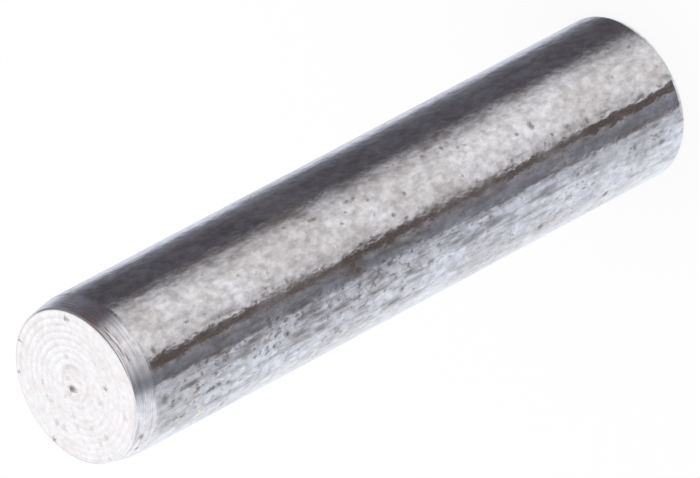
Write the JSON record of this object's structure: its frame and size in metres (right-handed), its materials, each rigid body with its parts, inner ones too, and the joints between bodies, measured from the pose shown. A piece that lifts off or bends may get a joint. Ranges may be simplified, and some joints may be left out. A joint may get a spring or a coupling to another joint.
{
  "type": "dowel pin",
  "caption": "Plain solid steel dowel pin with a ground cylindrical shank, a tapered leading end and a square plain end, for locating two parts in reamed holes.",
  "frame": {"origin": "centre of the plain end's face, which the pin stands on", "axes": "+Z along the pin's axis, from the plain end towards the tapered leading end"},
  "size_m": [0.004, 0.004, 0.018],
  "materials": {
    "ground_steel": "ground and lightly handled bare steel, with fine pits and brown stain specks"
  },
  "bodies": {
    "root": {"dowel_pin": "ground_steel"}
  },
  "joints": []
}
